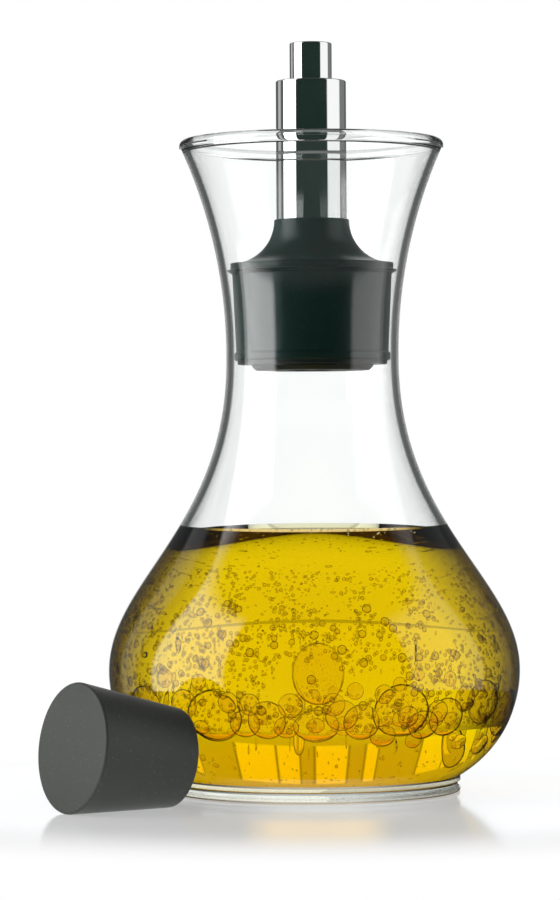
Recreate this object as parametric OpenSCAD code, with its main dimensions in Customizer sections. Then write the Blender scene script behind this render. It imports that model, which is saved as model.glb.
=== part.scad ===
// Salad dressing shaker: a waisted glass carafe, a silicone stopper with a
// steel pour spout, the dressing inside, and the rubber cap lying beside it.
// Millimetres. The foot's centre on the table is the origin, and +Z is up.

/* [Carafe] */
// Widest diameter of the belly
belly_d = 93.4; // [86:0.2:104]
// Diameter of the foot that it stands on
foot_d = 66; // [54:0.5:74]
// Height of the foot, up to where the belly springs
foot_h = 3.6; // [3:0.1:6]
// Radius of the lower belly, from the foot round to the widest place
low_r = 27.5; // [25:0.5:32]
// How far the belly's outline runs straight up before it turns in
belly_pull = 20.8; // [16:0.2:26]
// Diameter of the waist, the narrowest place of the neck
waist_d = 39.2; // [37:0.2:44]
// Height of the waist above the table
waist_z = 98.5; // [92:0.5:108]
// Height of the straight land at the waist, where the seal's lower lip rests
waist_land = 1.2; // [0.6:0.1:2]
// How far the neck's outline runs straight down before it turns out
waist_pull = 38.2; // [30:0.2:44]
// Radius of the trumpet curve above the waist
flare_r = 113.2; // [104:0.2:140]
// Height of the carafe
carafe_h = 147.8; // [140:0.2:155]
// Thickness of the glass wall
wall = 1.6; // [1.2:0.1:2.2]
// Thickness of the glass floor
floor_t = 2.8; // [2:0.1:5]
// Thickness of the fire-polished rim bead
bead_d = 3; // [2.6:0.1:4]
// Depth of the groove between belly and foot
groove_depth = 0.6; // [0.2:0.1:0.9]
// Width of the groove, as the diameter of its round section
groove_d = 1.8; // [1.2:0.1:2.2]
// Height of the groove's middle above the table
groove_z = 1.6; // [1.6:0.1:2]

/* [Dressing] */
// Height of the oil's surface
oil_level = 58.4; // [30:0.2:80]
// Height where the oil floats on the vinegar
vinegar_level = 16; // [8:0.2:26]
// Depth of the meniscus where the oil climbs the glass
meniscus = 1.2; // [0.6:0.1:2]
// Clearance between the dressing and the glass
dressing_gap = 0.05; // [0.02:0.01:0.2]

/* [Seal] */
// How far the seal's underside lies below the waist
seal_drop = 1; // [0.4:0.1:1.4]
// Clearance between the resting lips and the glass
lip_gap = 0.25; // [0.1:0.05:0.5]
// Height of the seal's skirt, from its underside to the upper lip
skirt_h = 20.2; // [17:0.1:24]
// How far the skirt stays behind the lower lip
lip_reach = 0.45; // [0.3:0.05:0.8]
// How much wider the skirt is under the upper lip than over the lower one, as the glass widens
skirt_flare = 0.8; // [0.2:0.1:0.9]
// Height of the lower lip
low_lip_h = 1.6; // [1:0.1:2.4]
// Chamfer under the lower lip
lip_chamfer = 0.3; // [0.2:0.05:0.4]
// Thickness of the thin upper lip at its root
top_lip_t = 0.5; // [0.4:0.05:0.8]
// Thickness of the upper lip at its tip
tip_t = 0.3; // [0.2:0.05:0.35]
// Diameter of the brim under the collar
brim_d = 37; // [35:0.2:37.6]
// Height of the brim above the upper lip
brim_h = 1.5; // [1:0.1:2.5]
// Radius of the hollow sweep from the brim up to the spout
sweep_r = 10; // [8:0.2:10.2]
// Thickness of the collar's edge on the spout
collar_edge = 0.5; // [0.3:0.1:0.8]

/* [Core] */
// Diameter of the core's body inside the seal
core_d = 26; // [24:0.5:30]
// Height of the core's body, up to the shoulder that carries the sleeve
core_h = 19.5; // [16:0.1:20]
// Diameter of the flange under the seal
flange_d = 34; // [30:0.5:34.4]
// Thickness of the flange
flange_t = 0.8; // [0.6:0.1:1.5]
// Diameter of the boss under the flange
boss_d = 27.6; // [24:0.2:29]
// Height of the boss
boss_h = 1.4; // [1.2:0.1:3]
// Chamfer of the boss
boss_chamfer = 0.9; // [0.3:0.1:1.1]
// Height of the barb's middle above the seal's underside
barb_up = 9.75; // [7:0.25:11]
// How far the barb stands out into the seal
barb_reach = 1.4; // [0.8:0.1:1.8]
// Height of the barb
barb_h = 2.4; // [1.6:0.1:4]
// Thickness of the core's outer wall
core_wall = 1.6; // [1.2:0.1:2]
// Thickness of the spigot's wall inside the sleeve
spigot_wall = 1.2; // [0.8:0.1:1.6]
// How far the hub round the return channel reaches past the sleeve
hub_land = 0.5; // [0.3:0.1:1.2]
// Thickness of the core's closed bottom
core_floor = 2.2; // [1.6:0.1:3]
// Number of ribs between the core's two walls
core_ribs = 6; // [3:1:8]
// Thickness of those ribs
core_rib_t = 1.2; // [0.8:0.1:1.6]
// Number of splines that hold the pour tube
splines = 4; // [3:1:6]
// Width of each spline
spline_w = 2; // [1.4:0.1:2.6]
// Length of the splines above the tube's seat
spline_h = 19; // [12:0.5:26]
// How far the toes at the splines' feet reach under the tube
toe_reach = 0.45; // [0.3:0.05:0.55]
// Thickness of the toes
toe_t = 1.2; // [0.8:0.1:2]
// Height of the spigot inside the sleeve
spigot_h = 9; // [6:0.5:12]

/* [Spout] */
// Outer diameter of the steel sleeve
sleeve_d = 16; // [15:0.1:17]
// Wall of the sleeve
sleeve_t = 0.7; // [0.5:0.05:0.8]
// How deep the sleeve's foot is turned down where the collar grips it
seat_step = 0.2; // [0.1:0.05:0.25]
// How far the sleeve stands out of the seal's collar
sleeve_out = 31.4; // [24:0.2:40]
// Outer diameter of the pour tube
tube_d = 9.6; // [9:0.1:10]
// Wall of the pour tube
tube_t = 0.6; // [0.55:0.05:0.7]
// How far the pour tube stands out of the sleeve
tube_out = 8.6; // [5:0.2:12]

/* [Cap] */
// Diameter of the cap's closed end
cap_d = 28.4; // [26:0.2:32]
// Diameter of the cap's mouth end
mouth_d = 21.6; // [21:0.2:24]
// Length of the cap
cap_h = 25.6; // [24.5:0.1:30]
// Radius of the cap's two outer edges
cap_edge = 0.6; // [0.3:0.1:1.2]
// Clearance between the cap's socket and the sleeve
socket_gap = 0.1; // [0.05:0.05:0.25]
// How far the sleeve goes into the cap
socket_h = 13; // [10:0.5:14]
// Clearance round and above the pour tube inside the cap
tube_gap = 0.4; // [0.2:0.1:0.8]
// Chamfer at the cap's mouth
mouth_chamfer = 0.8; // [0.4:0.1:1.2]
// Distance on the table from the belly's widest circle to the cap's mouth
cap_away = 3.4; // [3.2:0.1:12]
// Bearing of the cap's mouth from the carafe's axis, from +X
cap_bearing = 229.6; // [222:0.2:236]
// Direction that the cap's mouth looks in, from +X
cap_turn = 34; // [28:0.5:42]

/* [Hidden] */
$fn = 96;

// Steps along each curve of the glass outline
arc_steps = 16;
curve_steps = 26;

// A cut runs this far past the face that it opens
over = 1;

// Carafe: radii, and the height of the widest place, where the lower belly ends
belly_r = belly_d / 2;
foot_r = foot_d / 2;
waist_r = waist_d / 2;
neck_z = waist_z - waist_land / 2;
flare_z = waist_z + waist_land / 2;
low_x = belly_r - low_r;
belly_z = foot_h + sqrt(low_r * low_r - pow(foot_r - low_x, 2));
bead_r = bead_d / 2;
bead_z = carafe_h - bead_r;
foot_edge = 0.5;

// The inner floor: at least floor_t thick, and never above the inner curve's lowest point
floor_z = max(floor_t, belly_z - low_r + wall);

// Seal: it rests with its lower lip at the waist
seal_z = waist_z - seal_drop;
brim_r = brim_d / 2;
lip_z = seal_z + skirt_h;
collar_r = sleeve_d / 2 + collar_edge;
collar_z = lip_z + top_lip_t + brim_h + sweep_r;

// Core
core_r = core_d / 2;
shoulder_z = seal_z + core_h;
flange_z = seal_z - flange_t;
boss_z = flange_z - boss_h;
barb_z = seal_z + barb_up;
sleeve_r = sleeve_d / 2;
seat_r = sleeve_r - seat_step;
tube_r = tube_d / 2;
channel_r = sleeve_r - sleeve_t - spigot_wall;
hub_r = sleeve_r + hub_land;
tube_z = boss_z + toe_t;

// Spout
sleeve_top = collar_z + sleeve_out;
tube_top = sleeve_top + tube_out;

// Cap: half-angle of its cone, radii of its two sockets
cap_r = cap_d / 2;
mouth_r = mouth_d / 2;
cap_tilt = atan((cap_r - mouth_r) / cap_h);
socket_r = sleeve_r + socket_gap;
tube_socket_r = tube_r + tube_gap;
tube_socket_h = tube_out + tube_gap;

// A point on a circle's edge
function on_circle(x, z, r, a) = [x + r * cos(a), z + r * sin(a)];

// The shoulder of the carafe is one cubic curve, upright at both its ends
shoulder = [[belly_r, belly_z], [belly_r, belly_z + belly_pull],
            [waist_r, neck_z - waist_pull], [waist_r, neck_z]];
function shoulder_at(t) = pow(1 - t, 3) * shoulder[0] + 3 * pow(1 - t, 2) * t * shoulder[1]
    + 3 * (1 - t) * t * t * shoulder[2] + pow(t, 3) * shoulder[3];
function shoulder_run(t) = pow(1 - t, 2) * (shoulder[1] - shoulder[0])
    + 2 * (1 - t) * t * (shoulder[2] - shoulder[1]) + t * t * (shoulder[3] - shoulder[2]);
function shoulder_skin(t, d) = let (v = shoulder_run(t) / norm(shoulder_run(t)))
    shoulder_at(t) + d * [-v[1], v[0]];

// Radius of the trumpet at a height, d inside its outer face
function flare_at(z, d) = waist_r + flare_r - sqrt(pow(flare_r + d, 2) - pow(z - flare_z, 2));

// Radius of the shoulder at a height, d inside: the curve's own t is found by halving
function shoulder_t(z, d, lo = 0, hi = 1, n = 24) = let (mid = (lo + hi) / 2)
    n == 0 ? mid
    : shoulder_skin(mid, d)[1] < z ? shoulder_t(z, d, mid, hi, n - 1)
    : shoulder_t(z, d, lo, mid, n - 1);
function shoulder_r(z, d) = shoulder_skin(shoulder_t(z, d), d)[0];

// The stretches of the outline, d inside the outer face of the glass. The land lies between the
// shoulder's last point and the trumpet's first.
function low_belly(d, z) = let (a = asin((belly_z - z) / (low_r - d)))
    [for (i = [0 : arc_steps]) on_circle(low_x, belly_z, low_r - d, a * (i / arc_steps - 1))];
function upper_belly(d) = [for (i = [1 : curve_steps]) shoulder_skin(i / curve_steps, d)];
function trumpet(d, z) = [for (i = [0 : arc_steps])
    let (a = asin((z - flare_z) / (flare_r + d)) * i / arc_steps)
    [waist_r + flare_r - (flare_r + d) * cos(a), flare_z + (flare_r + d) * sin(a)]];

// The outside and the inside of the glass, from the bottom up
function glass_outside() = concat(low_belly(0, foot_h), upper_belly(0), trumpet(0, bead_z));
function glass_inside(d) = concat([[0, floor_z + d - wall]], low_belly(d, floor_z + d - wall),
    upper_belly(d), trumpet(d, bead_z));
function backwards(p) = [for (i = [len(p) - 1 : -1 : 0]) p[i]];

// Blown glass in one piece: thick floor and foot, waisted neck and a round bead at the rim
module carafe() {
    color([0.86, 0.93, 0.92, 0.45])
        rotate_extrude() {
            difference() {
                polygon(concat([[0, 0], [foot_r - foot_edge, 0]],
                    [for (i = [1 : 4]) on_circle(foot_r - foot_edge, foot_edge, foot_edge, i * 22.5 - 90)],
                    glass_outside(), backwards(glass_inside(wall))));
                translate([foot_r + groove_d / 2 - groove_depth, groove_z])
                    circle(d = groove_d);
            }
            translate([flare_at(bead_z, bead_r), bead_z])
                circle(r = bead_r);
        }
}

// What fills the carafe between two heights, as a half section
module filling(z0, z1) {
    intersection() {
        polygon(concat(glass_inside(wall + dressing_gap), [[0, bead_z]]));
        translate([0, z0])
            square([belly_r, z1 - z0]);
    }
}

// The vinegar lies on the glass floor
module vinegar_layer() {
    color([0.9, 0.62, 0.08, 0.8])
        rotate_extrude()
            filling(0, vinegar_level);
}

// The oil floats on the vinegar, and its edge climbs the glass in a hollow curve
module oil_layer() {
    edge_z = oil_level + meniscus;
    edge_r = shoulder_r(edge_z, wall + dressing_gap);
    color([0.78, 0.66, 0.05, 0.8])
        rotate_extrude()
            difference() {
                filling(vinegar_level, edge_z);
                polygon(concat([[-over, oil_level]],
                    [for (u = [0 : 0.125 : 1])
                        [edge_r - 2 * meniscus * (1 - u), oil_level + meniscus * u * u]],
                    [[edge_r, edge_z + over], [-over, edge_z + over]]));
            }
}

// Moulded core: flange and boss below, two walls with ribs between them, open at the top where
// the seal covers it, splines that grip the pour tube, and a spigot for the sleeve
module stopper_core() {
    color([0.13, 0.15, 0.15])
        union() {
            difference() {
                rotate_extrude()
                    core_outline();
                core_pockets();
            }
            for (i = [0 : splines - 1])
                rotate(i * 360 / splines)
                    spline();
        }
}

// Half section of the core round the return channel
module core_outline() {
    polygon([[channel_r, boss_z], [boss_d / 2 - boss_chamfer, boss_z],
        [boss_d / 2, boss_z + boss_chamfer],
        [boss_d / 2, flange_z], [flange_d / 2, flange_z], [flange_d / 2, seal_z], [core_r, seal_z],
        [core_r, barb_z - barb_h / 2], [core_r + barb_reach, barb_z - barb_h / 2],
        [core_r, barb_z + barb_h / 2], [core_r, shoulder_z], [sleeve_r - sleeve_t, shoulder_z],
        [sleeve_r - sleeve_t, shoulder_z + spigot_h], [channel_r, shoulder_z + spigot_h]]);
}

// Pockets between the core's walls, from above, with the ribs left standing
module core_pockets() {
    low = boss_z + core_floor;
    difference() {
        translate([0, 0, low])
            cylinder(r = core_r - core_wall, h = shoulder_z - low + over);
        translate([0, 0, low - over])
            cylinder(r = hub_r, h = shoulder_z - low + 3 * over);
        for (i = [0 : core_ribs - 1])
            rotate(i * 360 / core_ribs)
                translate([0, -core_rib_t / 2, low - over])
                    cube([core_r, core_rib_t, shoulder_z - low + 3 * over]);
    }
}

// One spline: it grips the tube's side, and its toe carries the tube's end
module spline() {
    difference() {
        translate([0, -spline_w / 2, boss_z])
            cube([channel_r + spigot_wall / 2, spline_w, toe_t + spline_h]);
        translate([0, 0, tube_z])
            cylinder(r = tube_r, h = spline_h + over);
        translate([-over, -spline_w / 2 - over, boss_z - over])
            cube([tube_r - toe_reach + over, spline_w + 2 * over, toe_t + 2 * over]);
    }
}

// Silicone seal, moulded over the core: collar, hollow sweep, brim, skirt and two lips
module stopper_seal() {
    top_lip_r = flare_at(lip_z, wall) - lip_gap;
    low_lip_r = waist_r - wall - lip_gap;
    skirt_r = low_lip_r - lip_reach;
    color([0.11, 0.16, 0.15])
        rotate_extrude()
            polygon(concat([[core_r, seal_z], [core_r, barb_z - barb_h / 2],
                [core_r + barb_reach, barb_z - barb_h / 2], [core_r, barb_z + barb_h / 2],
                [core_r, shoulder_z], [seat_r, shoulder_z], [seat_r, collar_z]],
                collar_sweep(),
                [[brim_r, lip_z + top_lip_t], [top_lip_r, lip_z + (top_lip_t + tip_t) / 2],
                [top_lip_r, lip_z + (top_lip_t - tip_t) / 2],
                [skirt_r + skirt_flare, lip_z - top_lip_t],
                [skirt_r, seal_z + low_lip_h + lip_reach], [low_lip_r, seal_z + low_lip_h],
                [low_lip_r, seal_z + lip_chamfer], [low_lip_r - lip_chamfer, seal_z]]));
}

// The sweep is a quarter circle that starts at the collar's thin edge and ends on the brim's top
function collar_sweep() = let (run = brim_r - collar_r)
    [for (i = [0 : 16]) [brim_r - run * cos(i * 90 / 16), collar_z - sweep_r * sin(i * 90 / 16)]];

// Steel sleeve: a tube with a full round at its upper end. Its foot is turned down to a seat
// inside the collar, and the shoulder above the seat rests on the collar's edge.
module spout_sleeve() {
    color([0.78, 0.8, 0.8])
        difference() {
            steel_tube(sleeve_r, sleeve_t, shoulder_z, sleeve_top);
            rotate_extrude()
                translate([seat_r, shoulder_z - over])
                    square([seat_step + over, collar_z - shoulder_z + over]);
        }
}

// Steel pour tube: from the core's toes up through the sleeve
module pour_tube() {
    color([0.78, 0.8, 0.8])
        steel_tube(tube_r, tube_t, tube_z, tube_top);
}

module steel_tube(r, t, z0, z1) {
    rotate_extrude() {
        translate([r - t, z0])
            square([t, z1 - z0 - t / 2]);
        translate([r - t / 2, z1 - t / 2])
            circle(d = t);
    }
}

// The cap lies on its side, its mouth end towards the carafe
module cap() {
    mouth_at = (belly_r + cap_away) * [cos(cap_bearing), sin(cap_bearing), 0];
    color([0.24, 0.27, 0.27])
        translate(mouth_at)
            rotate([0, 0, cap_turn])
                translate([mouth_r * sin(cap_tilt) - cap_h * cos(cap_tilt), 0,
                    mouth_r * cos(cap_tilt) + cap_h * sin(cap_tilt)])
                    rotate([0, 90 + cap_tilt, 0])
                        cap_body();
}

// Rubber cone in one piece, closed end at z = 0, with a stepped socket for sleeve and pour tube
module cap_body() {
    difference() {
        rotate_extrude()
            polygon(concat([[0, 0]],
                cone_corner(cap_r, 0, -1),
                cone_corner(mouth_r, cap_h, 1),
                [[0, cap_h]]));
        translate([0, 0, cap_h - socket_h])
            cylinder(r = socket_r, h = socket_h + over);
        translate([0, 0, cap_h - socket_h - tube_socket_h])
            cylinder(r = tube_socket_r, h = tube_socket_h + over);
        translate([0, 0, cap_h - mouth_chamfer])
            cylinder(r1 = socket_r, r2 = socket_r + mouth_chamfer, h = mouth_chamfer);
        translate([0, 0, cap_h])
            cylinder(r = socket_r + mouth_chamfer, h = over);
    }
}

// The round at an end of the cap's cone: side 1 at the mouth and -1 at the closed end
function cone_corner(r, z, side) = let (
    x = r - cap_edge * (1 - side * sin(cap_tilt)) / cos(cap_tilt),
    start = side > 0 ? cap_tilt : -90,
    turn = 90 - side * cap_tilt)
    [for (i = [0 : 5]) on_circle(x, z - side * cap_edge, cap_edge, start + turn * i / 5)];

carafe();
vinegar_layer();
oil_layer();
stopper_core();
stopper_seal();
spout_sleeve();
pour_tube();
cap();
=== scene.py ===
from math import acos, asin, atan, cos, degrees, hypot, pi, radians, sin, sqrt

import bmesh
import bpy
from mathutils import Matrix, Vector


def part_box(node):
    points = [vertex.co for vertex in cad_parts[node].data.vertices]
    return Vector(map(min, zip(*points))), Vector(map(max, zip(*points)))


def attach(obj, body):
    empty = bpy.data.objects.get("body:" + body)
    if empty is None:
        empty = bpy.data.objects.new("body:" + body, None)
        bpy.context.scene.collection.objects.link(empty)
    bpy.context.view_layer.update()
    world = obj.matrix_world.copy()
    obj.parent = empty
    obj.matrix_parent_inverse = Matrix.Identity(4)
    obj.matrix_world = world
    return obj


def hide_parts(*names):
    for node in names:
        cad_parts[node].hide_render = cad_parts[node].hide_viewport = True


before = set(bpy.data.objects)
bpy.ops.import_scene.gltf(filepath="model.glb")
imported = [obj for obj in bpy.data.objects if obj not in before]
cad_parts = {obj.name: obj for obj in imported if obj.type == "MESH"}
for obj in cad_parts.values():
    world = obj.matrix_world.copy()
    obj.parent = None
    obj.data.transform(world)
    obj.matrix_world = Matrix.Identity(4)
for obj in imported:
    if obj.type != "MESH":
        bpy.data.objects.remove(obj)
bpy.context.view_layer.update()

MM = 0.001


# Carafe
# One piece of blown glass: a thick floor and foot, a round belly, a waisted neck and a trumpet
# mouth whose rim was melted to a bead. Its outline is an arc, a cubic curve and an arc, turned
# on the axis.

def box_mm(node):
    """Radius, lowest and highest point of a round CAD node on the carafe's axis, in mm."""
    low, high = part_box(node)
    return high[0] / MM, low[2] / MM, high[2] / MM


belly_r, _, carafe_h = box_mm("carafe")
foot_r = 33.0
foot_h = 3.6
foot_edge = 0.5
low_r = 27.5
belly_pull = 20.8
waist_r = 19.6
waist_z = 98.5
waist_land = 1.2
waist_pull = 38.2
flare_r = 113.2
wall = 1.6
floor_t = 2.8
bead_r = 1.5
bead_start = 12
bead_end = 250
bead_blend = 1.15
groove_r = 0.9
groove_depth = 0.6
belly_steps = 34
shoulder_steps = 64
flare_steps = 46
low_x = belly_r - low_r
belly_z = foot_h + sqrt(low_r ** 2 - (foot_r - low_x) ** 2)
groove_z = 1.6
neck_z = waist_z - waist_land / 2
flare_z = waist_z + waist_land / 2
bead_z = carafe_h - bead_r
floor_z = max(floor_t, belly_z - low_r + wall)


def on_circle(x, z, r, angle):
    """A point on a circle's edge, the angle in degrees from +X."""
    return (x + r * cos(radians(angle)), z + r * sin(radians(angle)))


def arc(x, z, r, start, end, steps):
    """Points along an arc from one angle to another, in degrees."""
    return [on_circle(x, z, r, start + (end - start) * i / steps) for i in range(steps + 1)]


def shoulder_skin(t, depth):
    """A point on the shoulder's cubic curve, moved inwards by a depth."""
    pole = [(belly_r, belly_z), (belly_r, belly_z + belly_pull),
            (waist_r, neck_z - waist_pull), (waist_r, neck_z)]
    weight = [(1 - t) ** 3, 3 * (1 - t) ** 2 * t, 3 * (1 - t) * t * t, t ** 3]
    slope = [(1 - t) ** 2, 2 * (1 - t) * t, t * t]
    x, z = (sum(w * p[k] for w, p in zip(weight, pole)) for k in (0, 1))
    dx, dz = (sum(s * (pole[i + 1][k] - pole[i][k]) for i, s in enumerate(slope)) for k in (0, 1))
    run = sqrt(dx * dx + dz * dz)
    return (x - depth * dz / run, z + depth * dx / run)


def glass_skin(depth, z_start, fine=1.0):
    """The glass outline from a height up to the bead's middle, moved inwards by a depth."""
    first = degrees(asin((z_start - belly_z) / (low_r - depth)))
    points = arc(low_x, belly_z, low_r - depth, first, 0, int(belly_steps * fine))
    steps = int(shoulder_steps * fine)
    points += [shoulder_skin(i / steps, depth) for i in range(1, steps + 1)]
    steps = int(flare_steps * fine)
    last = asin((bead_z - flare_z) / (flare_r + depth))
    for i in range(steps + 1):
        a = last * i / steps
        points.append((waist_r + flare_r - (flare_r + depth) * cos(a), flare_z + (flare_r + depth) * sin(a)))
    return points


def node_adder(tree):
    """A function that adds a node to a tree with its settings, and its inputs as values or links."""
    def add(node_type, inputs=None, **settings):
        node = tree.nodes.new(node_type)
        for key, value in settings.items():
            setattr(node, key, value)
        for key, value in (inputs or {}).items():
            if isinstance(value, bpy.types.NodeSocket):
                tree.links.new(value, node.inputs[key])
            else:
                node.inputs[key].default_value = value
        return node

    return add


def calc(add, operation, *values):
    """The result of a Math node."""
    return add("ShaderNodeMath", dict(enumerate(values)), operation=operation).outputs[0]


def ranged(add, value, start, end, low=0.0, high=1.0, kind="LINEAR"):
    """A value brought from one range into another and held at its ends."""
    return add("ShaderNodeMapRange", {"Value": value, "From Min": start, "From Max": end, "To Min": low,
                                      "To Max": high}, interpolation_type=kind).outputs[0]


def mixed(add, share, first, second, blend="MIX"):
    """A colour that goes from one over into another by a share."""
    return add("ShaderNodeMix", {"Factor": share, "A": first, "B": second}, data_type="RGBA",
               blend_type=blend).outputs["Result"]


def new_tree(name, kind="GeometryNodeTree"):
    """An empty node tree, and the function that adds its nodes."""
    tree = bpy.data.node_groups.new(name, kind)
    return tree, node_adder(tree)


def add_socket(tree, name, kind, way="INPUT", value=None):
    """A named input or output of a tree."""
    socket = tree.interface.new_socket(name=name, in_out=way, socket_type="NodeSocket" + kind)
    if value is not None:
        socket.default_value = value
    return socket


merge_gap = 2e-7


def lathe_tree():
    """Turns an outline round the Z axis: each point of the outline becomes a ring of vertices."""
    tree, add = new_tree("lathe")
    for name, kind in (("Outline", "Geometry"), ("Stations", "Int"), ("Around", "Int"),
                       ("Finish", "Material")):
        add_socket(tree, name, kind)
    add_socket(tree, "Turned", "Geometry", "OUTPUT")
    put = add("NodeGroupInput").outputs
    rows = add("FunctionNodeIntegerMath", {0: put["Around"], 1: 1}, operation="ADD").outputs[0]
    grid = add("GeometryNodeMeshGrid", {"Vertices X": put["Stations"], "Vertices Y": rows})
    index = add("GeometryNodeInputIndex").outputs[0]
    station = add("FunctionNodeIntegerMath", {0: index, 1: rows}, operation="DIVIDE_FLOOR").outputs[0]
    turn = add("FunctionNodeIntegerMath", {0: index, 1: rows}, operation="MODULO").outputs[0]
    place = add("GeometryNodeInputPosition").outputs[0]
    point = add("GeometryNodeSampleIndex", {"Geometry": put["Outline"], "Value": place,
                                            "Index": station}, data_type="FLOAT_VECTOR").outputs[0]
    part = calc(add, "DIVIDE", turn, put["Around"])
    angle = calc(add, "MULTIPLY", part, 2 * pi)
    spun = add("ShaderNodeVectorRotate", {"Vector": point, "Angle": angle},
               rotation_type="Z_AXIS").outputs[0]
    body = add("GeometryNodeSetPosition", {"Geometry": grid.outputs["Mesh"], "Position": spun}).outputs[0]
    ends = add("FunctionNodeIntegerMath", {0: put["Stations"], 1: 1}, operation="SUBTRACT").outputs[0]
    along = calc(add, "DIVIDE", station, ends)
    body = add("GeometryNodeStoreNamedAttribute", {"Geometry": body, "Name": "along", "Value": along},
               data_type="FLOAT", domain="POINT").outputs[0]
    body = add("GeometryNodeMergeByDistance", {"Geometry": body, "Distance": merge_gap}).outputs[0]
    body = add("GeometryNodeFlipFaces", {"Mesh": body}).outputs[0]
    body = add("GeometryNodeSetShadeSmooth", {"Geometry": body}).outputs[0]
    body = add("GeometryNodeRealizeInstances", {"Geometry": body}).outputs[0]
    body = add("GeometryNodeSetMaterial", {"Geometry": body, "Material": put["Finish"]}).outputs[0]
    add("NodeGroupOutput", {"Turned": body})
    return tree


LATHE = lathe_tree()


def run_tree(tree, piece, values):
    """Applies a geometry tree to a piece with its inputs by name, and leaves a plain mesh."""
    names = {item.name: item.identifier for item in tree.interface.items_tree
             if item.item_type == "SOCKET" and item.in_out == "INPUT"}
    modifier = piece.modifiers.new(tree.name, "NODES")
    modifier.node_group = tree
    for name, value in values.items():
        modifier[names[name]] = value
    graph = bpy.context.evaluated_depsgraph_get()
    made = bpy.data.meshes.new_from_object(piece.evaluated_get(graph))
    piece.modifiers.clear()
    old, piece.data = piece.data, made
    made.name = piece.name
    bpy.data.meshes.remove(old)
    return piece


def turned(name, outline, finish, around=160, sharp=40):
    """A piece turned from an outline in mm that runs anticlockwise round its material."""
    mesh = bpy.data.meshes.new(name)
    mesh.from_pydata([(x * MM, 0, z * MM) for x, z in outline],
                     [(i, i + 1) for i in range(len(outline) - 1)], [])
    piece = bpy.data.objects.new(name, mesh)
    bpy.context.collection.objects.link(piece)
    run_tree(LATHE, piece, {"Stations": len(outline), "Around": around, "Finish": finish})
    piece.data.set_sharp_from_angle(angle=radians(sharp))
    return piece


def new_material(name):
    """A material, its Principled shader and the function that adds its nodes."""
    material = bpy.data.materials.new(name)
    material.use_nodes = True
    tree = material.node_tree
    return material, tree.nodes["Principled BSDF"], node_adder(tree)


def link(material, source, target):
    """Links two sockets of a material."""
    material.node_tree.links.new(source, target)


smear_from = 0.42
smear_full = 0.72


def handling_group():
    """Faint wipe marks and finger smears: a roughness that changes over the surface."""
    tree, add = new_tree("handling_marks", "ShaderNodeTree")
    add_socket(tree, "Scale", "Float", value=60.0)
    add_socket(tree, "Lowest", "Float", value=0.0)
    add_socket(tree, "Highest", "Float", value=0.05)
    add_socket(tree, "Roughness", "Float", "OUTPUT")
    put = add("NodeGroupInput").outputs
    place = add("ShaderNodeTexCoord").outputs["Object"]
    smear = add("ShaderNodeTexNoise", {"Vector": place, "Scale": put["Scale"], "Detail": 3.0,
                                       "Distortion": 0.6})
    level = ranged(add, smear.outputs["Fac"], smear_from, smear_full, put["Lowest"], put["Highest"])
    add("NodeGroupOutput", {"Roughness": level})
    return tree


HANDLING = handling_group()

vinegar_level = box_mm("vinegar_layer")[2]
oil_edge_z = box_mm("oil_layer")[2]
meniscus = 1.2
oil_level = oil_edge_z - meniscus
glass_ior = 1.5
oil_ior = 1.47
vinegar_ior = 1.36
glass_clear = (0.985, 1.0, 0.995, 1)
# Painted shade: the colour the glass darkens to where it is seen edge on
glass_edge_painted_shade = (0.03, 0.035, 0.028, 1)
edge_from = 0.74
# Painted reflections and shade on the foot: colours in bands by height in mm
foot_painted_bands = [(0.0, (0.80, 0.75, 0.60)), (0.6, (0.80, 0.81, 0.72)), (1.0, (0.58, 0.63, 0.59)),
              (1.3, (0.80, 0.86, 0.83)), (2.1, (0.72, 0.80, 0.77)), (2.5, (0.50, 0.50, 0.32)),
              (3.0, (0.72, 0.66, 0.42)), (3.9, (0.82, 0.75, 0.52)), (4.6, (1.0, 1.0, 1.0))]
foot_top = 4.6


def object_height(add):
    """The height above the table, in metres."""
    return add("ShaderNodeSeparateXYZ", {0: add("ShaderNodeTexCoord").outputs["Object"]}).outputs["Z"]


def colour_ramp(add, share, stops):
    """A colour that follows a share, from stops of share and colour."""
    ramp = add("ShaderNodeValToRGB", {"Fac": share})
    elements = ramp.color_ramp.elements
    for i, (position, colour) in enumerate(stops):
        stop = elements[i] if i < 2 else elements.new(position)
        stop.position = position
        stop.color = (*colour, 1)
    return ramp.outputs["Color"]


glass_finish, shader, add = new_material("carafe_glass")
# Painted shade: the glass darkens towards its outlines, where it is seen edge on
edge_on = add("ShaderNodeLayerWeight", {"Blend": 0.5}).outputs["Facing"]
tint_and_painted_shade = mixed(add, ranged(add, edge_on, edge_from, 1.0, kind="SMOOTHSTEP"), glass_clear, glass_edge_painted_shade)
# Painted reflections and shade: the foot's glass is coloured in bands by height
foot_share = ranged(add, object_height(add), 0.0, foot_top * MM)
foot_painted_reflection = colour_ramp(add, foot_share, [(z / foot_top, colour) for z, colour in foot_painted_bands])
tint_and_painted_shade = mixed(add, 1.0, tint_and_painted_shade, foot_painted_reflection, blend="MULTIPLY")
link(glass_finish, tint_and_painted_shade, shader.inputs["Base Color"])
shader.inputs["Transmission Weight"].default_value = 1.0
shader.inputs["Roughness"].default_value = 0.0
glass_waves = add("ShaderNodeTexNoise", {"Vector": add("ShaderNodeTexCoord").outputs["Object"],
                                         "Scale": 45.0, "Detail": 1.0})
glass_bump = add("ShaderNodeBump", {"Height": glass_waves.outputs["Fac"], "Strength": 0.03,
                                    "Distance": 0.0006})
link(glass_finish, glass_bump.outputs["Normal"], shader.inputs["Normal"])

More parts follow.
